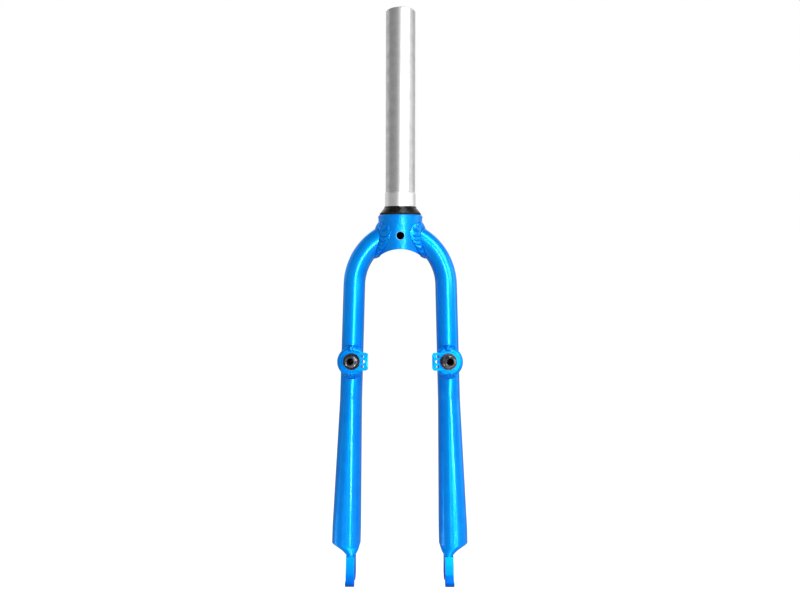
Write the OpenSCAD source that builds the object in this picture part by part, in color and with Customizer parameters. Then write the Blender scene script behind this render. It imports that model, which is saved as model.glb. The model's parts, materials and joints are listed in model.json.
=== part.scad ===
// Rigid fork for a small-wheel child's bike: aluminium steerer pressed into a short crown tube, two bent
// oval legs welded to the crown, brake bosses with bolted-in studs on the front, and forged dropouts.
// Millimetres. +Z runs up the steerer, -Y is forward, +X is the bike's left side.
// The origin is on the steerer's axis, in the plane where the crown race sits on the crown.

/* [Steerer] */
// Outer diameter of the steerer where the stem clamps it
steerer_d = 25.4; // [24:0.1:26.5]
// Wall of the steerer
steerer_wall = 2.5; // [1.8:0.1:3.2]
// Length of the steerer above the crown
steerer_len = 175.1; // [120:0.5:220]
// Radial step from the steerer up to the crown race seat
race_seat_step = 0.55; // [0.4:0.05:1]
// Height of the crown race seat above the crown
race_seat_len = 19.3; // [14:0.1:26]
// Chamfer at the sawn top of the steerer
steerer_chamfer = 0.6; // [0.2:0.1:1.2]

/* [Crown] */
// Wall of the crown tube round the steerer
crown_wall = 5.6; // [4.6:0.1:6.2]
// How far the rim at the top of the crown stands out
crown_rim = 0.35; // [0.2:0.05:0.8]
// Radius of the tyre arch cut across the bottom of the crown
arch_r = 29; // [26:0.5:38]
// Diameter of the mudguard bolt hole in the front of the crown
bolt_hole_d = 6.5; // [5:0.1:7.5]
// Depth of that hole's centre below the top of the crown
bolt_hole_drop = 17.7; // [15:0.1:20]
// Chamfer round the bolt hole
bolt_hole_chamfer = 0.7; // [0.3:0.1:1]

/* [Crown race] */
// Height of the crown race
race_h = 7.3; // [6.5:0.1:8.5]
// Radial width of the metal race at its foot
race_foot_w = 3.3; // [3:0.1:3.6]
// Radial width of the rubber seal round the race's foot
seal_w = 1.2; // [0.8:0.1:1.6]
// Height of the rubber seal
seal_h = 1.7; // [1.2:0.1:2]

/* [Legs] */
// Diameter of the round tube that each leg is squeezed from
tube_d = 22.2; // [21.4:0.1:23]
// Wall of the leg tube
leg_wall = 2; // [1.4:0.1:2.6]
// Width of the leg across the fork from the crown to below the brakes
leg_top_w = 18; // [17.6:0.1:20]
// Width of the leg across the fork at the dropout
leg_bottom_w = 23.4; // [23:0.1:25]
// How far the foot of the leg stands outward of the leg's straight axis
foot_shift = 0.6; // [0:0.1:1.5]
// Distance between the leg centrelines where the bends end
leg_spacing = 78.2; // [77:0.2:82]
// Radius of the leg's bend, to its centreline
bend_r = 47.5; // [46:0.5:54]
// Depth below the top of the crown at which the leg's centreline meets the crown
leg_join_drop = 21.2; // [19:0.1:24]
// Length of the leg below its bend
leg_len = 211; // [190:0.5:260]
// Length of the stretch over which the leg widens
taper_len = 104; // [60:1:120]
// Length of the even stretch at the foot of the leg
foot_len = 12; // [10:0.5:20]
// Angle at which each leg spreads outward
leg_splay = 1.1; // [0.5:0.1:2]
// Angle at which the legs lean forward of the steerer
rake_angle = 6; // [3:0.5:9]

/* [Dropouts] */
// Distance between the dropouts' inner faces, which is the hub's width
hub_w = 73; // [71:0.5:75]
// Thickness of the dropout plate
plate_t = 6.6; // [5:0.1:7.5]
// Width of the axle slot
slot_w = 9; // [8:0.1:10]
// Distance from the end of the leg tube to the axle
axle_drop = 21; // [20:0.5:26]
// Half of the dropout plate's width from front to back
plate_r = 12.8; // [12:0.1:14]
// How far the two prongs reach past the axle
prong_len = 10.4; // [8:0.1:12]
// Radius of the prongs' outer corners
prong_corner_r = 5; // [3:0.5:6]
// Height of the wheel-retention lip on the outer face
lip_t = 0.5; // [0.3:0.1:1.5]
// Height of that lip, up from the ends of the prongs
lip_h = 4.2; // [3:0.1:5]
// Radius of the washer recess inside that lip
lip_recess_r = 9.4; // [8.5:0.1:10]
// Length of the dropout's plug inside the leg
plug_len = 8; // [5:0.5:9.5]

/* [Brakes] */
// Distance between the two brake studs
stud_spacing = 79; // [78:0.5:82]
// Depth of the brake studs below the top of the crown, along the legs
stud_drop = 124.5; // [115:0.5:140]
// Angle at which the studs point up from square to the legs
stud_tilt = 4.5; // [0:0.5:6]
// Radius that rounds the front of the boss's barrel
barrel_edge = 4.2; // [1:0.1:4.4]
// Radius of the boss's barrel
barrel_r = 12.5; // [12:0.1:13.5]
// How far the barrel's front face stands out from the leg
barrel_rise = 3; // [2.6:0.1:4]
// Thickness of the spring plate on the front of the barrel
spring_plate_t = 3; // [2:0.1:4]
// Height of the spring plate's tab
tab_h = 14.5; // [13:0.1:16]
// Reach of the tab towards the wheel, from the stud
tab_reach = 13.2; // [12:0.1:14]
// Diameter of the spring holes
spring_hole_d = 2.6; // [2:0.1:3]
// Distance of the spring holes from the stud
spring_hole_r = 9.5; // [9:0.1:10]
// Angle between neighbouring spring holes
spring_hole_step = 25; // [22:1:28]
// Diameter of the post that the brake arm turns on
post_d = 8; // [7:0.1:9]
// Length of that post
post_len = 15.5; // [13:0.5:18]
// Diameter of the stud's flange
flange_d = 13.4; // [12.6:0.1:14]
// Diameter of the stud's shank inside the boss
shank_d = 10; // [9:0.1:11]
// Drilled diameter of the thread for the brake arm's bolt
tap_d = 5.3; // [4.5:0.1:5.8]

/* [Welds] */
// Width of the crown welds on each of the two surfaces they join
crown_weld_w = 3.6; // [2.5:0.1:4]
// Width of the boss welds on the leg
boss_weld_w = 1.7; // [1.2:0.1:2.4]
// Distance between neighbouring ripples in the welds
ripple_pitch = 2.6; // [1.8:0.1:4]
// Height of the ripples
ripple_h = 0.45; // [0.1:0.05:0.6]

/* [Hidden] */
$fn = 64;
paint_blue = "#0a84ee";
bare_aluminium = "#b9bbbd";
black_steel = "#1c1c1e";
black_rubber = "#151312";
stud_steel = "#4c4743";
cut = 1; // how far a cutting tool runs past the face that it cuts

// Steerer and crown
steerer_r = steerer_d / 2;
steerer_bore_r = steerer_r - steerer_wall;
seat_r = steerer_r + race_seat_step;
crown_r = seat_r + crown_wall;
race_foot_r = seat_r + race_foot_w;
race_lip_w = 0.65;
race_skirt_w = 0.7;
race_skirt_t = 0.3;
rim_top_h = 1.3;
rim_h = 3.6;

// Leg sections: squeezing a tube keeps the length of its outline
function squeezed(w) = w <= tube_d
    ? w + PI * (tube_d - w) / 2
    : (PI * tube_d / 2 - w) / (PI / 2 - 1);
leg_top_size = [leg_top_w, squeezed(leg_top_w)];
leg_bottom_size = [leg_bottom_w, squeezed(leg_bottom_w)];
leg_r = leg_top_w / 2;
leg_flat = (leg_top_size.y - leg_top_w) / 2;
seam_step = 0.06;
seam_overlap = 3;
wall_2d = [2 * leg_wall, 2 * leg_wall];

// The bend's centre, in the plane of the legs
bend_cx = leg_spacing / 2 - bend_r * cos(leg_splay);
join_angle = acos((crown_r - bend_cx) / bend_r);
bend_cz = -leg_join_drop - bend_r * sin(join_angle);
bend_end = [bend_cx + bend_r * cos(leg_splay), bend_cz + bend_r * sin(leg_splay)];
bend_top_angle = join_angle + 14; // the tube's end, well inside the crown, before it is mitred
even_len = leg_len - taper_len - foot_len;

// A point of the leg's straight axis, a distance down from the bend, in the plane of the legs
function leg_axis(s) = bend_end + s * [sin(leg_splay), -cos(leg_splay)];
leg_foot = leg_axis(leg_len);

// The crown weld's width on the crown, for a normal of the leg's outline: widest in front, and pulled in
// below the leg, where the crown ends at the arch
function crown_toe_w(n) = crown_weld_w * (1 + 0.3 * abs(n.y) - 0.15 * n.y - 0.4 * pow(max(0, -n.x), 6));
// Its width on the leg: narrow at the shoulders of the leg and wide at its lower corners
function leg_toe_w(n) = crown_weld_w * (1 - 0.8 * n.x * abs(n.y));
// The angle round the bend at which a line of the leg, at this offset from its axis, meets the crown
function meet(rho, back, phi = 50, steps = 6) = steps == 0
    ? phi
    : let (
        z = bend_cz + (bend_r + rho) * sin(phi) + leg_join_drop,
        y = back * cos(rake_angle) + z * sin(rake_angle),
        x = sqrt(crown_r * crown_r - y * y)
    ) meet(rho, back, acos((x - bend_cx) / (bend_r + rho)), steps - 1);
function bend_point(rho, back, phi) = [
    bend_cx + (bend_r + rho) * cos(phi),
    back,
    bend_cz + (bend_r + rho) * sin(phi),
];

// The crown ends where the weld under the leg ends, and the arch runs up from there
under_rho = -leg_r - crown_toe_w([-1, 0]);
crown_side_z = bend_point(under_rho, 0, meet(under_rho, 0)).z;
arch_cz = crown_side_z - sqrt(arch_r * arch_r - crown_r * crown_r);

// Brake bosses, measured forward from the plane of the legs
stud_x = stud_spacing / 2;
leg_front = leg_top_size.y / 2;
barrel_front = leg_front + barrel_rise;
boss_front = barrel_front + spring_plate_t;
spigot_r = shank_d / 2 + 2;
spigot_back = 2.5;
flange_t = 2;
shoulder_len = 2.5;
shoulder_r = post_d / 2 + 0.8;
bead_ahead = 0.9; // how far the middle of a ripple runs ahead of its ends
lay_off = 0.03; // keeps a bead's flats off the curved surfaces that it lies on

// Dropouts, in the plane of the legs
plate_inner_x = hub_w / 2;
plate_outer_x = plate_inner_x + plate_t;
axle_z = leg_foot.y - axle_drop;
hood_h = 7.8;
hood_sink = 0.6;
plate_top = axle_drop - hood_h;
plate_top_half = 10.5;
// The hood's outline from the leg to the plate: shares of its height, and of the way in from each side
hood_steps = [[1, 1, 1], [0.9, 1, 0.9], [0.8, 0.93, 0.72], [0.67, 0.81, 0.52], [0.52, 0.65, 0.36],
    [0.37, 0.45, 0.24], [0.23, 0.24, 0.15], [0.09, 0.07, 0.06], [0, 0, 0]];

// Puts its children on the bike's left (1) or right (-1)
module on_side(side) {
    mirror([side < 0 ? 1 : 0, 0, 0]) children();
}

// The leg's own frame: the bend's centre, with the straight leg running down from [bend_r, 0, 0]
module in_leg_frame() {
    in_leg_plane() translate([bend_cx, 0, bend_cz]) rotate([0, -leg_splay, 0]) children();
}

// Leans the plane of the legs forward about the line where their centrelines meet the crown
module in_leg_plane() {
    translate([0, 0, -leg_join_drop])
        rotate([-rake_angle, 0, 0])
            translate([0, 0, leg_join_drop]) children();
}

// From +Z to forward and a little up, out of the plane of the legs, at a brake stud
module at_stud() {
    translate([stud_x, 0, -stud_drop]) rotate([90 - stud_tilt, 0, 0]) children();
}

// A solid through rings of points, with flat ends, or joined end to end
module loft(rings, closed = false) {
    n = len(rings[0]);
    m = len(rings);
    spans = closed ? m : m - 1;
    walls = [
        for (i = [0 : spans - 1]) for (j = [0 : n - 1]) each let (
            a = i * n + j,
            b = i * n + (j + 1) % n,
            c = ((i + 1) % m) * n + (j + 1) % n,
            d = ((i + 1) % m) * n + j
        ) [[a, b, c], [a, c, d]]
    ];
    ends = closed ? [] : [
        [for (j = [n - 1 : -1 : 0]) j],
        [for (j = [0 : n - 1]) (m - 1) * n + j],
    ];
    polyhedron(points = [for (ring = rings) each ring], faces = concat(walls, ends), convexity = 8);
}

// An oval with round ends and flat sides, as a squeezed tube has
module oval(size) {
    narrow = min(size.x, size.y);
    spread = (max(size.x, size.y) - narrow) / 2;
    rotate(size.x > size.y ? 90 : 0) {
        for (y = [-spread, spread]) translate([0, y]) circle(d = narrow);
        square([narrow, 2 * spread], center = true);
    }
}

// The same oval as a ring of points round a centre, at a height
function oval_ring(size, centre, z, sides = 48) = let (
    r = min(size.x, size.y) / 2,
    spread = (size - [2 * r, 2 * r]) / 2
) [
    for (i = [0 : sides - 1]) let (a = -360 * i / sides) [
        centre.x + r * cos(a) + sign(round(1e6 * cos(a))) * spread.x,
        centre.y + r * sin(a) + sign(round(1e6 * sin(a))) * spread.y,
        z,
    ]
];

module steerer_profile(r_in, bottom) {
    c = steerer_chamfer;
    polygon([
        [r_in, bottom],
        [seat_r, bottom],
        [seat_r, race_seat_len - race_seat_step],
        [steerer_r, race_seat_len],
        [steerer_r, steerer_len - c],
        [steerer_r - c, steerer_len],
        [r_in + c / 2, steerer_len],
        [r_in, steerer_len - c / 2],
    ]);
}

// The tyre arch, across the fork under the crown
module arch_cutter() {
    translate([0, 0, arch_cz]) rotate([90, 0, 0]) cylinder(r = arch_r, h = 4 * crown_r, center = true, $fn = 128);
}

module bolt_hole_cutter() {
    translate([0, 0, -bolt_hole_drop]) rotate([90, 0, 0]) {
        cylinder(d = bolt_hole_d, h = crown_r + cut);
        translate([0, 0, crown_r - bolt_hole_chamfer])
            cylinder(r1 = bolt_hole_d / 2, r2 = bolt_hole_d / 2 + bolt_hole_chamfer + cut,
                     h = bolt_hole_chamfer + cut);
    }
}

module steerer_tube() {
    color(bare_aluminium) difference() {
        rotate_extrude() steerer_profile(steerer_bore_r, crown_side_z - cut);
        arch_cutter();
        bolt_hole_cutter();
    }
}

module crown_tube() {
    color(paint_blue) difference() {
        rotate_extrude() polygon([
            [seat_r, crown_side_z - cut],
            [crown_r, crown_side_z - cut],
            [crown_r, -rim_h],
            [crown_r + crown_rim, -rim_top_h],
            [crown_r - 2 * crown_rim, 0],
            [seat_r, 0],
        ]);
        arch_cutter();
        bolt_hole_cutter();
    }
}

// A cone that carries the lower headset bearing, with a snap groove under its top lip
module crown_race() {
    lip_r = seat_r + race_lip_w;
    lip_edge = 0.2;
    groove_h = race_h - 1;
    groove_w = 0.3;
    groove_depth = 0.25;
    skirt_r = race_foot_r + race_skirt_w;
    color(black_steel) rotate_extrude() polygon([
        [seat_r, 0],
        [race_foot_r, 0],
        [race_foot_r, seal_h],
        [skirt_r, seal_h],
        [skirt_r, seal_h + race_skirt_t],
        [lip_r, groove_h - lip_edge],
        [lip_r - groove_depth, groove_h],
        [lip_r - groove_depth, groove_h + groove_w],
        [lip_r, groove_h + groove_w],
        [lip_r, race_h - lip_edge],
        [lip_r - lip_edge, race_h],
        [seat_r, race_h],
    ]);
}

module crown_race_seal() {
    outer_r = race_foot_r + seal_w;
    bevel = 0.5;
    color(black_rubber) rotate_extrude() polygon([
        [race_foot_r, 0],
        [outer_r, 0],
        [outer_r, seal_h - bevel],
        [outer_r - bevel, seal_h],
        [race_foot_r, seal_h],
    ]);
}

// The leg's bend, and the even stretch below it, in the leg's frame
module leg_bend(size) {
    rotate([90, 0, 0]) rotate_extrude(angle = bend_top_angle - leg_splay, $fn = 128)
        translate([bend_r, 0]) oval(size);
}
module leg_even(size) {
    translate([bend_r, 0, -even_len]) linear_extrude(even_len) oval(size);
}

// One leg's outer skin, or its bore. The flats of the taper start inside the curved stretch above it.
module leg_shape(inset) {
    top = leg_top_size - inset;
    taper_top = top - [2 * seam_step, 2 * seam_step];
    bottom = leg_bottom_size - inset;
    foot = [bend_r + foot_shift, 0];
    in_leg_frame() {
        leg_bend(top);
        leg_even(top);
        loft([
            oval_ring(bottom, foot, -leg_len),
            oval_ring(bottom, foot, foot_len - leg_len),
            oval_ring(taper_top, [bend_r, 0], -even_len),
            oval_ring(taper_top, [bend_r, 0], seam_overlap - even_len),
        ]);
    }
}

module leg_tube() {
    color(paint_blue) difference() {
        leg_shape([0, 0]);
        leg_shape(wall_2d);
        in_leg_plane() at_stud() cylinder(r = spigot_r, h = leg_front + cut);
        crown_solid();
    }
}

// The crown's outer surface carried on below the arch, for what is mitred to it
module crown_solid() {
    depth = 4 * crown_r;
    translate([0, 0, -depth]) cylinder(r = crown_r, h = depth);
}

// A bead's section: its base, listed from toe to toe by way of the root, and the bulge over it.
// The middle of the bulge runs ahead of the toes, which makes each ripple a crescent.
function bead_ring(base, bulge, ahead, parts = 6) = let (
    from = base[len(base) - 1],
    to = base[0],
    root = base[(len(base) - 1) / 2],
    up = (from + to) / 2 - root
) concat(base, [
    for (k = [1 : parts - 1]) from + (to - from) * k / parts
        + sin(180 * k / parts) * (bulge * up / norm(up) + ahead)
]);

// The ripple left by each dip of the filler rod, as a share of its height
function ripple(s, pitch) = abs(sin(180 * s / pitch));

// A point and normal on the leg's outline, a distance round it from the side away from the wheel
function outline(s) = let (
    f = leg_flat,
    arc = PI * leg_r,
    a = s < f ? 0
        : s < f + arc ? (s - f) / arc * 180
        : s < 3 * f + arc ? 180
        : s < 3 * f + 2 * arc ? 180 + (s - 3 * f - arc) / arc * 180
        : 360,
    y = s < f ? s
        : s < f + arc ? f
        : s < 3 * f + arc ? 2 * f + arc - s
        : s < 3 * f + 2 * arc ? -f
        : s - 4 * f - 2 * arc
) [[leg_r * cos(a), y + leg_r * sin(a)], [cos(a), sin(a)]];

// The bead round a leg's mitre, in the plane of the legs
module crown_weld() {
    round = 2 * PI * leg_r + 4 * leg_flat;
    ripples = round(round / ripple_pitch);
    stations = 4 * ripples;
    color(paint_blue) in_leg_plane() loft([
        for (i = [0 : stations - 1]) let (
            s = round * i / stations,
            p = outline(s)[0],
            n = outline(s)[1],
            phi = meet(p.x, p.y),
            back_off = leg_toe_w(n) / (bend_r + p.x) * 180 / PI,
            on_crown = [for (k = [1, 0.85, 0.6, 0.3, 0]) let (q = p + (k * crown_toe_w(n) + lay_off) * n)
                bend_point(q.x, q.y, meet(q.x, q.y) - lay_off)],
            on_leg = [for (k = [0.25 : 0.25 : 1]) let (q = p + lay_off * n)
                bend_point(q.x, q.y, phi - k * back_off)]
        ) bead_ring(
            concat(on_crown, on_leg),
            0.25 * crown_weld_w + ripple_h * ripple(s, round / ripples),
            bead_ahead * [0, n.x, -n.y]
        )
    ], closed = true);
}

// The barrel's edges are rounded, and its wheel side is cut flush with the leg
module boss_barrel() {
    back = 2.4;
    back_edge = 2.6;
    intersection() {
        rotate_extrude() {
            translate([0, back + back_edge])
                square([barrel_r, barrel_front - barrel_edge - back - back_edge]);
            translate([0, back]) square([barrel_r - back_edge, barrel_front - back]);
            translate([barrel_r - back_edge, back + back_edge]) circle(back_edge);
            translate([0, barrel_front - barrel_edge]) square([barrel_r - barrel_edge, barrel_edge]);
            translate([barrel_r - barrel_edge, barrel_front - barrel_edge]) circle(barrel_edge);
        }
        translate([-leg_r + 1, -barrel_r, 0]) cube([leg_r + barrel_r, 2 * barrel_r, barrel_front]);
    }
}

// A tab with three spring holes beside a round seat for the stud
module spring_plate() {
    corner_r = 2;
    sink = 0.5;
    stud_seat_r = tab_h / 2 + 0.9;
    translate([0, 0, barrel_front - sink]) linear_extrude(spring_plate_t + sink) {
        circle(stud_seat_r);
        translate([-tab_reach, -tab_h / 2 + corner_r]) square([tab_reach, tab_h - 2 * corner_r]);
        translate([-tab_reach + corner_r, -tab_h / 2]) square([tab_reach - corner_r, tab_h]);
        for (y = [-1, 1]) translate([-tab_reach + corner_r, y * (tab_h / 2 - corner_r)]) circle(corner_r);
    }
}

module brake_boss() {
    color(paint_blue) difference() {
        union() {
            difference() {
                in_leg_plane() at_stud() {
                    boss_barrel();
                    spring_plate();
                }
                in_leg_frame() leg_even(leg_top_size);
            }
            in_leg_plane() at_stud() translate([0, 0, spigot_back])
                cylinder(r = spigot_r, h = barrel_front - spigot_back);
        }
        in_leg_plane() at_stud() {
            cylinder(d = shank_d, h = boss_front + cut);
            for (i = [-1, 0, 1]) rotate(180 + i * spring_hole_step) translate([spring_hole_r, 0, 0])
                cylinder(d = spring_hole_d, h = boss_front + cut);
        }
    }
}

// Shank, flange, ringed shoulder and post, drilled for the brake arm's bolt
module brake_stud() {
    flange_front = boss_front + flange_t;
    post_front = flange_front + shoulder_len;
    tip = post_front + post_len;
    tap_r = tap_d / 2;
    tap_depth = 14;
    edge = 0.3;
    grooves = 3;
    groove_pitch = shoulder_len / grooves;
    color(stud_steel) in_leg_plane() at_stud() rotate_extrude() polygon(concat([
        [0, spigot_back],
        [shank_d / 2 - edge, spigot_back],
        [shank_d / 2, spigot_back + edge],
        [shank_d / 2, boss_front],
        [flange_d / 2, boss_front],
        [flange_d / 2, flange_front - edge],
        [flange_d / 2 - edge, flange_front],
    ], [
        for (i = [0 : grooves - 1]) each let (z = flange_front + i * groove_pitch) [
            [shoulder_r - edge, z],
            [shoulder_r, z + 0.4 * groove_pitch],
            [shoulder_r - edge, z + 0.8 * groove_pitch],
        ]
    ], [
        [post_d / 2, post_front],
        [post_d / 2, tip - 2 * edge],
        [post_d / 2 - 2 * edge, tip],
        [tap_r + 2 * edge, tip],
        [tap_r, tip - 2 * edge],
        [tap_r, tip - tap_depth],
        [0, tip - tap_depth - tap_r / 2],
    ]));
}

// The barrel's radius at a distance along its axis
function barrel_radius(s) = barrel_r - barrel_edge
    + sqrt(pow(barrel_edge, 2) - pow(max(0, s - barrel_front + barrel_edge), 2));

// A point beyond the barrel's skin by a gap, at a distance along its axis and an angle round it
function barrel_point(s, a, gap = 0) = let (r = barrel_radius(s) + lay_off + gap) [
    stud_x + r * cos(a),
    r * sin(a) * sin(stud_tilt) - s * cos(stud_tilt),
    r * sin(a) * cos(stud_tilt) + s * sin(stud_tilt) - stud_drop,
];

// How far forward of its plane the leg's front lies at a point of the plane
function leg_front_at(x, z) = let (
    across = (x - bend_end.x) * cos(leg_splay) + (z - bend_end.y) * sin(leg_splay)
) leg_flat + sqrt(leg_r * leg_r - across * across);

// The distance along the barrel's axis at which such a point lies on the leg's front
function barrel_foot(a, gap = 0, s = leg_front, steps = 6) = steps == 0
    ? s
    : let (p = barrel_point(s, a, gap), next = s + leg_front_at(p.x, p.z) + lay_off + p.y)
        barrel_foot(a, gap, next, steps - 1);

// The bead in the corner between the barrel and the front of the leg, above (1) or below (-1) the stud
module boss_weld(up) {
    reach = 27;
    middle = 86;
    length = 2 * reach * PI / 180 * barrel_r;
    ripples = round(length / ripple_pitch);
    stations = 4 * ripples;
    color(paint_blue) in_leg_plane() loft([
        for (i = [0 : stations]) let (
            t = i / stations,
            a = up * middle + reach * (2 * t - 1),
            swell = sqrt(max(0, sin(180 * t))),
            w = boss_weld_w * (0.3 + 0.7 * swell),
            foot = barrel_foot(a),
            rise = min(2.2 * w, 0.95 * (barrel_front - foot)),
            on_barrel = [for (k = [3 : -1 : 0]) barrel_point(foot + k / 3 * rise, a)],
            on_leg = [for (k = [1 : 3]) let (gap = k / 3 * w) barrel_point(barrel_foot(a, gap), a, gap)]
        ) bead_ring(
            concat(on_barrel, on_leg),
            0.7 * w + ripple_h * ripple(t, 1 / ripples),
            bead_ahead * swell * [-sin(a), 0, cos(a)]
        )
    ]);
}

// The side view of the dropout plate, forward to the left, with the axle at its origin
module plate_outline() {
    c = prong_corner_r;
    difference() {
        union() {
            polygon([
                [-plate_top_half, plate_top],
                [plate_top_half, plate_top],
                [plate_r, 0],
                [plate_r, c - prong_len],
                [plate_r - c, -prong_len],
                [c - plate_r, -prong_len],
                [-plate_r, c - prong_len],
                [-plate_r, 0],
            ]);
            for (y = [-1, 1]) translate([y * (plate_r - c), c - prong_len]) circle(c);
        }
        circle(d = slot_w);
        translate([-slot_w / 2, -prong_len - cut]) square([slot_w, prong_len + cut]);
    }
}

// Lofts the leg's oval end, which is square to the splayed leg, down to the upright plate
module dropout_hood() {
    outer = leg_foot.x + foot_shift + leg_bottom_w / 2;
    inner = outer - leg_bottom_w;
    loft([
        for (step = hood_steps) let (
            far = outer + step[1] * (plate_outer_x - outer),
            near = inner + step[2] * (plate_inner_x - inner),
            depth = leg_bottom_size.y + step[0] * (2 * plate_top_half - leg_bottom_size.y),
            z = leg_foot.y - step[0] * (hood_h + hood_sink)
        ) [
            for (p = oval_ring([far - near, depth], [(far + near) / 2, 0], z))
                p + [0, 0, (1 - step[0]) * (p.x - leg_foot.x) * tan(leg_splay)]
        ]
    ]);
}

module dropout() {
    plug_size = leg_bottom_size - wall_2d;
    plug_centre = [bend_r + foot_shift, 0];
    color(paint_blue) in_leg_frame() loft([
        oval_ring(plug_size, plug_centre, -leg_len),
        oval_ring(plug_size, plug_centre, plug_len - leg_len),
    ]);
    color(paint_blue) in_leg_plane() {
        dropout_hood();
        translate([plate_inner_x, 0, axle_z]) rotate([90, 0, 90]) {
            linear_extrude(plate_t) plate_outline();
            linear_extrude(plate_t + lip_t) difference() {
                intersection() {
                    plate_outline();
                    translate([-plate_r, -plate_r]) square([2 * plate_r, plate_r - prong_len + lip_h]);
                }
                circle(lip_recess_r);
            }
        }
    }
}

steerer_tube();
crown_race();
crown_race_seal();
crown_tube();
on_side(1) leg_tube();  // left_leg
on_side(-1) leg_tube();  // right_leg
on_side(1) crown_weld();  // left_crown_weld
on_side(-1) crown_weld();  // right_crown_weld
on_side(1) dropout();  // left_dropout
on_side(-1) dropout();  // right_dropout
on_side(1) brake_boss();  // left_brake_boss
on_side(-1) brake_boss();  // right_brake_boss
on_side(1) brake_stud();  // left_brake_stud
on_side(-1) brake_stud();  // right_brake_stud
on_side(1) boss_weld(1);  // left_boss_weld_upper
on_side(1) boss_weld(-1);  // left_boss_weld_lower
on_side(-1) boss_weld(1);  // right_boss_weld_upper
on_side(-1) boss_weld(-1);  // right_boss_weld_lower
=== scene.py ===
"""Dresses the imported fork: finishes, a pale floor, studio light and the photograph's view."""

import json
import math

import bpy
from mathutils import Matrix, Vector


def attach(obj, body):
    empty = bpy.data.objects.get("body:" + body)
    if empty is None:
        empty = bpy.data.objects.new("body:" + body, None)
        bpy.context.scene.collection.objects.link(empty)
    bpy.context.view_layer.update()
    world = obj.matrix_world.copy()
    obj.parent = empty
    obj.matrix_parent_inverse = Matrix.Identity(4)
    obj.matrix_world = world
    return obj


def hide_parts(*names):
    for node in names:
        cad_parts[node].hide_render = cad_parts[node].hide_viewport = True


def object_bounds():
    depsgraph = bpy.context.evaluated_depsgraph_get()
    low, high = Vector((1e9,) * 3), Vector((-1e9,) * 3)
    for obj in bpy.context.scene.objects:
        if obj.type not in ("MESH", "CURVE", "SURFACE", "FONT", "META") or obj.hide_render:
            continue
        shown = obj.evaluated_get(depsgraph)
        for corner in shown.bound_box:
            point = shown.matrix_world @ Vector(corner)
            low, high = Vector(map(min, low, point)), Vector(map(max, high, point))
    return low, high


MM = 0.001

# The photograph's view: level, from straight in front
PHOTO_SIZE = (800, 600)
FOCAL_PX = 620
HORIZON_ROW = 243
CENTRE_COLUMN = 400.3
CAMERA_Y = -534 * MM
CAMERA_Z = -23.9 * MM
CAMERA_ROLL = math.radians(-0.1)
SENSOR_MM = 36
CLIP_START = 10 * MM

# The floor, and the world's grey light in front of the fork and behind it
FLOOR_DROP = 260 * MM
FLOOR_SIZE = 60
FLOOR_SEEN = 0.97
FLOOR_MIRRORED = 0.25
WORLD_FRONT = 0.44
WORLD_BACK = 0.14

# Each lamp's azimuth and elevation in degrees, distance, width and height in metres, and watts
SOFTBOXES = {
    "key": (47, 27, 1.4, 0.7, 1.0, 13.5),
    "strip": (14, -4, 1.4, 0.12, 1.2, 16),
    "fill": (95, 5, 1.4, 0.5, 1.2, 3),
    "rim": (-112, 15, 1.4, 0.4, 1.2, 1.2),
    "top": (30, 58, 1.4, 0.4, 0.9, 9),
    "kick": (-80, -42, 0.6, 0.15, 0.15, 0.25),
}
LAMPS_FACE = Vector((0, 0, -60 * MM))

# The fork's shape, as the part's source has it, in millimetres
RAKE = math.radians(6)
SPLAY = math.radians(1.1)
JOIN_DROP = 21.2
CROWN_R = 18.85
LEG_R = 9.0
LEG_TUBE_D = 22.2
LEG_FLAT = math.pi * (LEG_TUBE_D - 2 * LEG_R) / 4
BEND_R = 47.5
BEND_END_X = 39.1
BEND_X = BEND_END_X - BEND_R * math.cos(SPLAY)
BEND_Z = -JOIN_DROP - math.sqrt(BEND_R ** 2 - (CROWN_R - BEND_X) ** 2)
BEND_END_Z = BEND_Z + BEND_R * math.sin(SPLAY)
STUD_X = 39.5
STUD_DROP = 124.5
STUD_TILT = math.radians(4.5)
BARREL_R = 12.5
BARREL_EDGE = 4.2
BARREL_PROUD = 3
BARREL_FRONT = LEG_FLAT + LEG_R + BARREL_PROUD

# The welds, in millimetres: their widths, their ripples, and how deep their toes sink
CROWN_WELD_W = 3.6
BOSS_WELD_W = 1.7
RIPPLE_PITCH = 2.6
RIPPLE_H = 1.0
SINK = 0.12

# How finely a bead is drawn, and the steps that find where two surfaces meet
ACROSS = 14
RIPPLE_STATIONS = 12
BOSS_RIPPLES = 4
BOSS_STATIONS = 48
MEETING_STEPS = 8

# Where the finishes change, and where shade and a highlight are painted: the crown's hole, the race's
# seat, the steerer's bore and the dropouts
BOLT_HOLE_R = 3.1 * MM
BOLT_HOLE_DROP = 17.7 * MM
SEAT_TOP = 19.3 * MM
BORE_R = 10.4 * MM
BORE_EDGE_R = 11.2 * MM
# Painted shade darkens the dropouts between these heights
DROPOUT_SHADE_TOP = -277 * MM
DROPOUT_SHADE_FOOT = -294 * MM

# A brake stud: where the middle of its flange is, how its axis slopes, and its radii
FLANGE_AHEAD = 37.7 * MM
FLANGE_DROP = 118.95 * MM
STUD_SLOPE = math.tan(RAKE + STUD_TILT)
STUD_BORE_R = 2.6 * MM
POST_FOOT_R = 4.7 * MM
RUSTY_RIM_R = 6.2 * MM

# Softened edges
EDGE_R = 0.35 * MM
DROPOUT_EDGE_R = 1 * MM
SEAM_GAP = 0.002 * MM
EDGE_ANGLE = math.radians(40)

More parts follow.
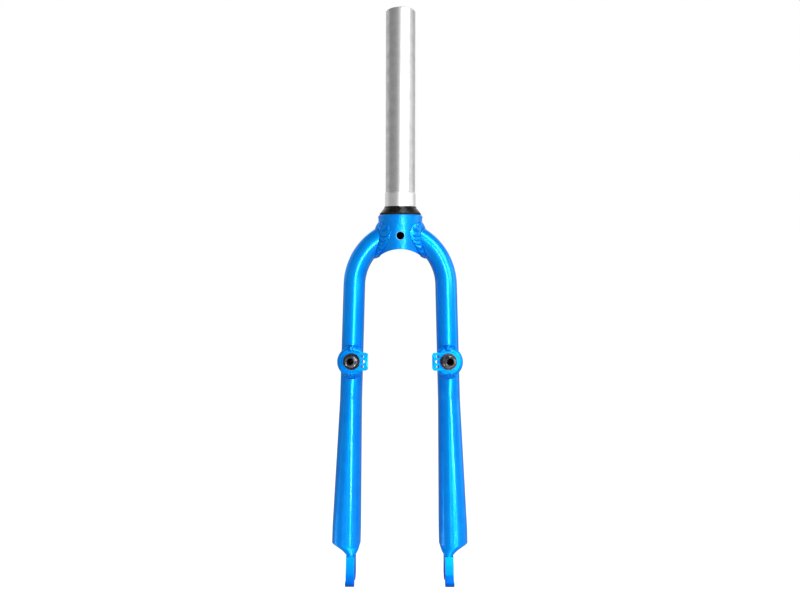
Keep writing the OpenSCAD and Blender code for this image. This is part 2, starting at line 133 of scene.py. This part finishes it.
# Linear colours
PAINT_BLUE = (0.0, 0.29, 0.95, 1)
PAINT_DEEP = (0.0, 0.25, 0.92, 1)
PAINT_FLAKE = (0.01, 0.42, 1.0, 1)
PAINT_SHEEN = (0.0, 0.65, 1.0, 1)
# Painted shade, for corners, weld grooves and down the dropouts
PAINT_SHADE = (0.0, 0.1, 0.6, 1)
# Painted highlight on the bolt hole's edge
PAINT_EDGE_HIGHLIGHT = (0.35, 0.85, 1.0, 1)
ALUMINIUM = (0.6, 0.6, 0.6, 1)
ALUMINIUM_DULL = (0.5, 0.5, 0.5, 1)
ALUMINIUM_TURNED = (0.8, 0.8, 0.8, 1)
STUD_STEEL = (0.24, 0.24, 0.25, 1)
STUD_DARK = (0.03, 0.03, 0.03, 1)
RUST = (0.2, 0.075, 0.03, 1)
BLACK_METAL = (0.003, 0.003, 0.003, 1)
RUBBER = (0.006, 0.004, 0.003, 1)
# Painted shade inside holes and the steerer's bore
HOLE_SHADE_BLACK = (0, 0, 0, 1)
PALE = (0.3, 0.3, 0.3, 1)
WHITE = (1, 1, 1, 1)


class Graph:
    """A short way to write a node tree: each call adds nodes and returns an output socket."""

    def __init__(self, tree):
        self.tree = tree

    def node(self, kind, inputs=(), **settings):
        made = self.tree.nodes.new(kind)
        for name, value in settings.items():
            setattr(made, name, value)
        for key, value in dict(inputs).items():
            self.put(made.inputs[key], value)
        return made

    def put(self, socket, value):
        if isinstance(value, bpy.types.NodeSocket):
            self.tree.links.new(value, socket)
        else:
            socket.default_value = value

    def place(self, kind="Object"):
        return self.node("ShaderNodeTexCoord").outputs[kind]

    def along(self, vector):
        """The vector's X, Y and Z, each by its name."""
        return self.node("ShaderNodeSeparateXYZ", {"Vector": vector}).outputs

    def noise(self, vector, scale, detail=2.0, roughness=0.5):
        made = self.node("ShaderNodeTexNoise", {
            "Vector": vector, "Scale": scale, "Detail": detail, "Roughness": roughness})
        return made.outputs["Fac"]

    def stretched(self, vector, scale):
        made = self.node("ShaderNodeMapping", {"Vector": vector, "Scale": scale})
        return made.outputs["Vector"]

    def spread(self, value, low, high, to_low=0.0, to_high=1.0):
        made = self.node("ShaderNodeMapRange", {
            "Value": value, "From Min": low, "From Max": high, "To Min": to_low, "To Max": to_high})
        return made.outputs["Result"]

    def math(self, operation, a, b=0.0):
        made = self.node("ShaderNodeMath", {0: a, 1: b}, operation=operation)
        return made.outputs[0]

    def distance(self, a, b):
        """How far a point is from an axis, given how far it is from it in two directions."""
        return self.math("SQRT", self.math("ADD", self.math("POWER", a, 2), self.math("POWER", b, 2)))

    def blend(self, share, a, b):
        made = self.node("ShaderNodeMix", data_type="RGBA")
        self.put(made.inputs["Factor"], share)
        self.put(made.inputs[6], a)
        self.put(made.inputs[7], b)
        return made.outputs[2]

    def bump(self, height, strength, distance, below=None):
        inputs = {"Height": height, "Strength": strength, "Distance": distance}
        if below is not None:
            inputs["Normal"] = below
        return self.node("ShaderNodeBump", inputs).outputs["Normal"]


def from_leg_plane(x, y, z):
    """A point given in the plane of the legs, in millimetres, to metres in the frame."""
    down = z + JOIN_DROP
    return Vector((
        x, y * math.cos(RAKE) + down * math.sin(RAKE),
        -JOIN_DROP - y * math.sin(RAKE) + down * math.cos(RAKE))) * MM


def hump(phase):
    """One ripple a unit: round on top, with a sharp groove between it and the next."""
    return abs(math.sin(math.pi * phase)) ** 0.8


def bead_ring(crown_toe, root, leg_toe, height):
    """A section of a bead: its root, then the bulge from toe to toe. height(v) gives the bulge's
    height, and how near the ripple's crest it is, from 0 to 1.
    """
    out = ((crown_toe + leg_toe) / 2 - root).normalized() * MM
    ring = [(crown_toe, 0), (root, 0), (leg_toe, 0)]
    for k in range(1, ACROSS):
        v = 1 - k / ACROSS
        rise, crest = height(v)
        ring.append((crown_toe.lerp(leg_toe, v) + rise * out, crest))
    return ring


def add_bead(name, node, rings, closed, side):
    """A piece through rings of points that stands for a weld's node. Side -1 mirrors it."""
    count = len(rings[0])
    faces = []
    for i in range(len(rings) if closed else len(rings) - 1):
        for j in range(count):
            a, b = i * count + j, i * count + (j + 1) % count
            c, d = (b + count) % (len(rings) * count), (a + count) % (len(rings) * count)
            faces.append((a, b, c, d))
    if not closed:
        faces.append(tuple(range(count))[::-1])
        faces.append(tuple(range((len(rings) - 1) * count, len(rings) * count)))
    points = [(side * p.x, p.y, p.z) for ring in rings for p, crest in ring]
    if side < 0:
        faces = [face[::-1] for face in faces]
    mesh = bpy.data.meshes.new(name)
    mesh.from_pydata(points, [], faces)
    mesh.shade_smooth()
    crests = mesh.attributes.new("crest", "FLOAT", "POINT")
    crests.data.foreach_set("value", [crest for ring in rings for p, crest in ring])
    mesh.materials.append(finishes["weld_paint"])
    piece = bpy.data.objects.new(name, mesh)
    bpy.context.scene.collection.objects.link(piece)
    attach(piece, "root")
    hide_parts(node)


def leg_outline(s):
    """A point and a normal on the leg's oval outline, a distance round it from the outer side."""
    f, arc = LEG_FLAT, math.pi * LEG_R
    if s < f:
        angle, y = 0, s
    elif s < f + arc:
        angle, y = (s - f) / LEG_R, f
    elif s < 3 * f + arc:
        angle, y = math.pi, 2 * f + arc - s
    elif s < 3 * f + 2 * arc:
        angle, y = math.pi + (s - 3 * f - arc) / LEG_R, -f
    else:
        angle, y = 0, s - 4 * f - 2 * arc
    nx, ny = math.cos(angle), math.sin(angle)
    return LEG_R * nx, y + LEG_R * ny, nx, ny


def bend_point(rho, back, phi):
    """A point of the bend: how far outside its middle line, how far back, and the angle round it."""
    return from_leg_plane(
        BEND_X + (BEND_R + rho) * math.cos(phi), back, BEND_Z + (BEND_R + rho) * math.sin(phi))


def meet_crown(rho, back, radius):
    """The angle round the bend where a line of the leg meets a cylinder round the steerer."""
    phi = math.radians(50)
    for _ in range(MEETING_STEPS):
        down = BEND_Z + (BEND_R + rho) * math.sin(phi) + JOIN_DROP
        y = back * math.cos(RAKE) + down * math.sin(RAKE)
        phi = math.acos((math.sqrt(radius ** 2 - y ** 2) - BEND_X) / (BEND_R + rho))
    return phi


def crown_weld(side_name, side):
    """The rippled bead round a leg's mitre on the crown. Its ripples hang like smiles down the front.
    It is widest at front and back, flat on the shoulder and thin under the arch, and the pace of the
    ripples wanders as a hand does.
    """
    around = 2 * math.pi * LEG_R + 4 * LEG_FLAT
    ripples = round(around / RIPPLE_PITCH)
    stations = RIPPLE_STATIONS * ripples
    rings = []
    for i in range(stations):
        share = i / stations
        turn = 2 * math.pi * share
        phase = ripples * share + 0.3 * math.sin(3 * turn) + 0.22 * math.sin(7 * turn + 1)
        x, y, nx, ny = leg_outline(around * share)
        under = max(0, -nx)
        over = max(0, nx)
        edge = 1 + 0.05 * hump(phase)
        on_crown = CROWN_WELD_W * (1 + 0.3 * abs(ny) - 0.15 * ny - 0.4 * under ** 6) * edge
        on_leg = CROWN_WELD_W * (1 - 0.8 * nx * abs(ny) + 0.5 * under ** 4) * edge
        full = 0.8 * (1 - 0.9 * under ** 4) * (1 - over ** 3)
        ripple = RIPPLE_H * (1 - 0.6 * under ** 4) * (1 - 0.5 * over ** 3)
        crown_x, crown_y = x + on_crown * nx, y + on_crown * ny
        toe_phi = meet_crown(crown_x, crown_y, CROWN_R - SINK)
        phi = meet_crown(x, y, CROWN_R)

        def height(v):
            crest = math.sin(math.pi * v)
            ridge = hump(phase + (0.9 * crest if ny < 0 else -0.9 * crest))
            return full * crest ** 0.75 + ripple * ridge * crest ** 0.5, ridge

        rings.append(bead_ring(
            bend_point(crown_x, crown_y, toe_phi), bend_point(x, y, phi),
            bend_point(x - SINK * nx, y - SINK * ny, phi - on_leg / (BEND_R + x)), height))
    add_bead(side_name + "_crown_bead", side_name + "_crown_weld", rings, True, side)


def barrel_radius(s):
    """The radius of a boss's barrel at a distance along the stud: its front edge is rounded."""
    ahead = max(0, s - BARREL_FRONT + BARREL_EDGE)
    return BARREL_R - BARREL_EDGE + math.sqrt(max(0, BARREL_EDGE ** 2 - ahead ** 2))


def stud_point(r, s, angle):
    """A point in the plane of the legs: its radius and angle round the stud, and distance along it."""
    return (
        STUD_X + r * math.cos(angle),
        r * math.sin(angle) * math.sin(STUD_TILT) - s * math.cos(STUD_TILT),
        r * math.sin(angle) * math.cos(STUD_TILT) + s * math.sin(STUD_TILT) - STUD_DROP)


def leg_surface(gap, angle):
    """The radius and the distance along the stud of the leg's front, a gap outside the barrel."""
    s = BARREL_FRONT - BARREL_PROUD
    for _ in range(MEETING_STEPS):
        r = barrel_radius(s) + gap
        x, y, z = stud_point(r, s, angle)
        across = (x - BEND_END_X) * math.cos(SPLAY) + (z - BEND_END_Z) * math.sin(SPLAY)
        s += LEG_FLAT + math.sqrt(LEG_R ** 2 - across ** 2) + y
    return r, s


def boss_weld(side_name, side, place, up):
    """The blob in the corner between a boss's barrel and the leg, laid in a few curled ripples."""
    reach, middle = math.radians(29), math.radians(86)
    rings = []
    for i in range(BOSS_STATIONS + 1):
        t = i / BOSS_STATIONS
        angle = up * middle + reach * (2 * t - 1)
        swell = math.sqrt(max(0.0, math.sin(math.pi * t)))
        w = BOSS_WELD_W * (0.3 + 0.7 * swell)
        edge = 1 + 0.1 * hump(BOSS_RIPPLES * t)
        r, s = leg_surface(0, angle)
        toe_r, toe_s = leg_surface(w * edge, angle)
        front = s + min(2.6 * w, 0.97 * (BARREL_FRONT - s))

        def height(v):
            crest = math.sin(math.pi * v)
            ridge = hump(BOSS_RIPPLES * t + 0.9 * crest)
            return w * 0.6 * crest ** 0.8 + 0.8 * RIPPLE_H * swell * ridge * crest ** 0.5, ridge

        rings.append(bead_ring(
            from_leg_plane(*stud_point(barrel_radius(front) - SINK, front, angle)),
            from_leg_plane(*stud_point(r, s, angle)),
            from_leg_plane(*stud_point(toe_r, toe_s - SINK, angle)), height))
    add_bead(side_name + "_boss_bead_" + place, side_name + "_boss_weld_" + place, rings, False, side)


def new_material(name):
    """An empty Principled material: the material, its graph and its shader."""
    material = bpy.data.materials.new(name)
    material.use_nodes = True
    return material, Graph(material.node_tree), material.node_tree.nodes["Principled BSDF"]


def set_shader(graph, shader, **values):
    for name, value in values.items():
        graph.put(shader.inputs[name.replace("_", " ")], value)


def metallic_paint(name, roughness, mottle, coat, coat_roughness, marks=None):
    """Metallic blue: fine flakes in a deep colour, over metal that lies a little uneven. Painted shade
    darkens the colour in corners. Where marks is given, it works the colour over.
    """
    material, graph, shader = new_material(name)
    place = graph.place()
    clouds = graph.spread(graph.noise(place, 90, detail=3), 0.35, 0.65)
    flakes = graph.spread(graph.noise(place, 2600, detail=1), 0.6, 0.75, 0.0, 0.6)
    colour = graph.blend(clouds, PAINT_DEEP, PAINT_BLUE)
    colour = graph.blend(flakes, colour, PAINT_FLAKE)
    # Painted shade: ambient occlusion darkens the colour towards the shade blue in corners
    corners = graph.node("ShaderNodeAmbientOcclusion", {"Distance": 3 * MM}, samples=8).outputs["AO"]
    colour = graph.blend(graph.spread(corners, 0.8, 0.4, 0.0, 0.8), colour, PAINT_SHADE)
    if marks:
        colour = marks(graph, place, colour)
    peel = graph.bump(graph.noise(place, 260), mottle, 0.3 * MM)
    grit = graph.bump(graph.noise(place, 2600, detail=1), 0.25, 0.05 * MM, peel)
    set_shader(
        graph, shader, Base_Color=colour, Metallic=0.6, Roughness=roughness, Normal=grit,
        Specular_IOR_Level=0.5, Specular_Tint=PAINT_SHEEN,
        Coat_Weight=coat, Coat_Roughness=coat_roughness, Coat_IOR=1.4, Coat_Normal=peel)
    return material


def painted_groove_shade(graph, place, colour):
    """Painted shade: the colour turns darker in the grooves between a weld's ripples than on their
    crests.
    """
    crest = graph.node("ShaderNodeAttribute", attribute_name="crest").outputs["Fac"]
    # Painted shade in the grooves
    return graph.blend(graph.spread(crest, 0.3, 0.9, 0.6, 0.0), colour, PAINT_SHADE)


def bolt_hole_shade_and_highlight(graph, place, colour):
    """The mudguard bolt's hole, in front: painted shade makes it black inside, and a painted highlight
    makes its edge pale.
    """
    parts = graph.along(place)
    up = graph.math("ADD", parts["Z"], BOLT_HOLE_DROP)
    from_axis = graph.distance(parts["X"], up)
    in_front = graph.spread(parts["Y"], 0, -5 * MM)
    # Painted highlight: pale paint on the hole's edge
    edge = graph.spread(from_axis, BOLT_HOLE_R + 0.9 * MM, BOLT_HOLE_R + 0.2 * MM, 0.0, 0.7)
    colour = graph.blend(graph.math("MULTIPLY", edge, in_front), colour, PAINT_EDGE_HIGHLIGHT)
    # Painted shade: black inside the hole
    inside = graph.spread(from_axis, BOLT_HOLE_R + 0.15 * MM, BOLT_HOLE_R)
    return graph.blend(graph.math("MULTIPLY", inside, in_front), colour, HOLE_SHADE_BLACK)


def painted_dropout_shade(graph, place, colour):
    """Painted shade: the paint turns darker down the dropouts."""
    foot = graph.spread(graph.along(place)["Z"], DROPOUT_SHADE_TOP, DROPOUT_SHADE_FOOT, 0.0, 0.9)
    return graph.blend(foot, colour, PAINT_SHADE)


def bare_aluminium():
    """Drawn tube: lengthwise die lines and dull clouds, a turned seat above the race, and a bore painted
    black as shade.
    """
    material, graph, shader = new_material("bare_aluminium")
    place = graph.place()
    parts = graph.along(place)
    lines = graph.noise(graph.stretched(place, (1, 1, 0.03)), 1100, detail=3)
    clouds = graph.noise(place, 160, detail=4, roughness=0.6)
    colour = graph.blend(graph.spread(clouds, 0.4, 0.7), ALUMINIUM, ALUMINIUM_DULL)
    seat = graph.spread(parts["Z"], SEAT_TOP + 0.3 * MM, SEAT_TOP)
    colour = graph.blend(seat, colour, ALUMINIUM_TURNED)
    # Painted shade: black inside the bore
    bore = graph.spread(graph.distance(parts["X"], parts["Y"]), BORE_EDGE_R, BORE_R)
    colour = graph.blend(bore, colour, HOLE_SHADE_BLACK)
    grain = graph.bump(lines, 0.12, 0.05 * MM)
    set_shader(
        graph, shader, Base_Color=colour, Metallic=1.0,
        Roughness=graph.spread(clouds, 0.35, 0.7, 0.38, 0.46),
        Normal=graph.bump(clouds, 0.05, 0.2 * MM, grain))
    return material


def black_steel():
    """Oiled black steel of the race, smeared unevenly, with fine turning lines."""
    material, graph, shader = new_material("black_race")
    place = graph.place()
    turned = graph.noise(graph.stretched(place, (0.05, 0.05, 1)), 2600)
    smears = graph.noise(place, 180, detail=3)
    set_shader(
        graph, shader, Base_Color=BLACK_METAL, Specular_IOR_Level=0.5,
        Roughness=graph.spread(smears, 0.35, 0.65, 0.1, 0.4),
        Normal=graph.bump(turned, 0.04, 0.05 * MM))
    return material


def black_rubber():
    """Dull, finely grained rubber."""
    material, graph, shader = new_material("black_rubber")
    grain = graph.noise(graph.place(), 1500, detail=3)
    set_shader(
        graph, shader, Base_Color=RUBBER, Roughness=graph.spread(grain, 0.3, 0.7, 0.6, 0.8),
        Specular_IOR_Level=0.2, Normal=graph.bump(grain, 0.3, 0.05 * MM))
    return material


def stud_steel():
    """Turned steel: tool marks round the post, a rusty rim to the flange, and painted shade, black, in
    the threaded hole.
    """
    material, graph, shader = new_material("stud_steel")
    place = graph.place()
    parts = graph.along(place)
    across = graph.math("SUBTRACT", graph.math("ABSOLUTE", parts["X"]), STUD_X * MM)
    sloped = graph.math("MULTIPLY", graph.math("ADD", parts["Y"], FLANGE_AHEAD), STUD_SLOPE)
    up = graph.math("ADD", graph.math("ADD", parts["Z"], FLANGE_DROP), sloped)
    from_axis = graph.distance(across, up)
    stains = graph.spread(graph.noise(place, 500, detail=3), 0.5, 0.7)
    colour = graph.blend(graph.math("MULTIPLY", stains, 0.3), STUD_STEEL, RUST)
    flange = graph.spread(from_axis, POST_FOOT_R, POST_FOOT_R + 0.4 * MM, 0.0, 0.9)
    colour = graph.blend(flange, colour, STUD_DARK)
    rim = graph.spread(from_axis, RUSTY_RIM_R, RUSTY_RIM_R + 0.3 * MM)
    colour = graph.blend(graph.math("MULTIPLY", rim, stains), colour, RUST)
    # Painted shade: the threaded hole is black and not metallic
    hole = graph.spread(from_axis, STUD_BORE_R + 0.15 * MM, STUD_BORE_R)
    colour = graph.blend(hole, colour, HOLE_SHADE_BLACK)
    marks = graph.noise(graph.stretched(place, (0.1, 1, 0.1)), 2600)
    set_shader(
        graph, shader, Base_Color=colour, Metallic=graph.spread(hole, 0, 1, 1, 0),
        Roughness=graph.spread(rim, 0, 1, 0.16, 0.5), Normal=graph.bump(marks, 0.4, 0.05 * MM))
    return material


def mirrored_rays(graph, rays):
    """The rays that metal and glass send out."""
    return graph.math("ADD", rays["Is Glossy Ray"], rays["Is Transmission Ray"])


def floor_material():
    """Pale floor that the camera and the metal see as white, with the object's shadow kept."""
    material, graph, shader = new_material("pale_floor")
    rays = graph.node("ShaderNodeLightPath").outputs
    mirrored = graph.math("MULTIPLY", mirrored_rays(graph, rays), FLOOR_MIRRORED)
    seen = graph.math("MULTIPLY", rays["Is Camera Ray"], FLOOR_SEEN)
    set_shader(
        graph, shader, Base_Color=PALE, Roughness=0.9, Emission_Color=WHITE,
        Emission_Strength=graph.math("MAXIMUM", seen, mirrored))
    return material


def add_floor(lowest):
    bpy.ops.mesh.primitive_plane_add(size=FLOOR_SIZE, location=(0, 0, lowest - FLOOR_DROP))
    floor = bpy.context.object
    floor.name = "floor"
    floor.data.materials.append(floor_material())


def set_world():
    """White for what the camera sees, and behind the fork for what its metal mirrors. The light itself
    is a soft grey in front that falls off overhead and behind.
    """
    world = bpy.data.worlds.new("studio")
    bpy.context.scene.world = world
    world.use_nodes = True
    graph = Graph(world.node_tree)
    background = world.node_tree.nodes["Background"]
    rays = graph.node("ShaderNodeLightPath").outputs
    toward = graph.along(graph.place("Generated"))
    grey = graph.spread(toward["Y"], -0.2, 0.8, WORLD_FRONT, WORLD_BACK)
    grey = graph.math("MULTIPLY", grey, graph.spread(toward["Z"], 0.3, 0.85, 1.0, 0.2))
    backdrop = graph.math("MULTIPLY", mirrored_rays(graph, rays), graph.spread(toward["Y"], 0.3, 0.8))
    white = graph.math("MAXIMUM", rays["Is Camera Ray"], backdrop)
    light = graph.math("MULTIPLY", graph.math("SUBTRACT", 1.0, white), grey)
    graph.put(background.inputs["Color"], WHITE)
    graph.put(background.inputs["Strength"], graph.math("ADD", white, light))


def soften_edges(piece, width):
    """Rounds the sharp edges a little, as thick paint does, once the faces are joined at their seams."""
    weld = piece.modifiers.new("seams", "WELD")
    weld.merge_threshold = SEAM_GAP
    bevel = piece.modifiers.new("paint_edge", "BEVEL")
    bevel.width = width
    bevel.segments = 3
    bevel.limit_method = "ANGLE"
    bevel.angle_limit = EDGE_ANGLE
    bevel.harden_normals = True


def add_softbox(name, azimuth, elevation, distance, width, height, watts):
    """A rectangular lamp that faces the fork. Azimuth 0 is at the camera, 90 at its right."""
    lamp = bpy.data.lights.new(name, "AREA")
    lamp.shape = "RECTANGLE"
    lamp.size = width
    lamp.size_y = height
    lamp.energy = watts
    holder = bpy.data.objects.new(name, lamp)
    bpy.context.scene.collection.objects.link(holder)
    a = math.radians(azimuth)
    e = math.radians(elevation)
    away = Vector((math.sin(a) * math.cos(e), -math.cos(a) * math.cos(e), math.sin(e)))
    holder.location = LAMPS_FACE + away * distance
    holder.rotation_euler = away.to_track_quat("Z", "Y").to_euler()


def add_camera():
    lens = bpy.data.cameras.new("camera")
    lens.sensor_width = SENSOR_MM
    lens.lens = FOCAL_PX / PHOTO_SIZE[0] * SENSOR_MM
    lens.shift_x = (PHOTO_SIZE[0] / 2 - CENTRE_COLUMN) / PHOTO_SIZE[0]
    lens.shift_y = (HORIZON_ROW - PHOTO_SIZE[1] / 2) / PHOTO_SIZE[0]
    lens.clip_start = CLIP_START
    holder = bpy.data.objects.new("camera", lens)
    bpy.context.scene.collection.objects.link(holder)
    holder.location = (0, CAMERA_Y, CAMERA_Z)
    holder.rotation_euler = (math.pi / 2, CAMERA_ROLL, 0)
    bpy.context.scene.camera = holder


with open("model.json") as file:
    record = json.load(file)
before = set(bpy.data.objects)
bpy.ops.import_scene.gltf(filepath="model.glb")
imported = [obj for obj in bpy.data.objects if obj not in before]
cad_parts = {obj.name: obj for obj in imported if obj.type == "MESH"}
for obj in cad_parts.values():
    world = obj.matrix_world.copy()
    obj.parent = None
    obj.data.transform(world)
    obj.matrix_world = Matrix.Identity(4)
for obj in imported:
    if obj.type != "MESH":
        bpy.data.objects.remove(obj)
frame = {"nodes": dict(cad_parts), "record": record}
cad_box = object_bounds()

bpy.context.scene.view_settings.view_transform = "Standard"
add_camera()
add_floor(cad_box[0].z)
set_world()
for lamp_name, settings in SOFTBOXES.items():
    add_softbox(lamp_name, *settings)

finishes = {
    "blue_paint": metallic_paint(
        "blue_paint", roughness=0.33, mottle=0.25, coat=0.3, coat_roughness=0.12),
    "weld_paint": metallic_paint(
        "weld_paint", roughness=0.24, mottle=0.1, coat=0.2, coat_roughness=0.1, marks=painted_groove_shade),
    "crown_paint": metallic_paint(
        "crown_paint", roughness=0.4, mottle=1.0, coat=0.3, coat_roughness=0.25, marks=bolt_hole_shade_and_highlight),
    "forged_paint": metallic_paint(
        "forged_paint", roughness=0.45, mottle=0.2, coat=0.1, coat_roughness=0.12, marks=painted_dropout_shade),
    "bare_aluminium": bare_aluminium(),
    "black_steel": black_steel(),
    "black_rubber": black_rubber(),
    "stud_steel": stud_steel(),
}
dropouts = ("left_dropout", "right_dropout")
special = {"crown_tube": "crown_paint"}
for node_name in dropouts + ("left_brake_boss", "right_brake_boss"):
    special[node_name] = "forged_paint"
slots = {part["node"]: part["material_slot"] for part in frame["record"]["subparts"]}
for node_name, solid in frame["nodes"].items():
    solid.data.materials.clear()
    solid.data.materials.append(finishes[special.get(node_name, slots[node_name])])
    if slots[node_name] == "blue_paint":
        soften_edges(solid, DROPOUT_EDGE_R if node_name in dropouts else EDGE_R)

for side_name, side in (("left", 1), ("right", -1)):
    crown_weld(side_name, side)
    boss_weld(side_name, side, "upper", 1)
    boss_weld(side_name, side, "lower", -1)
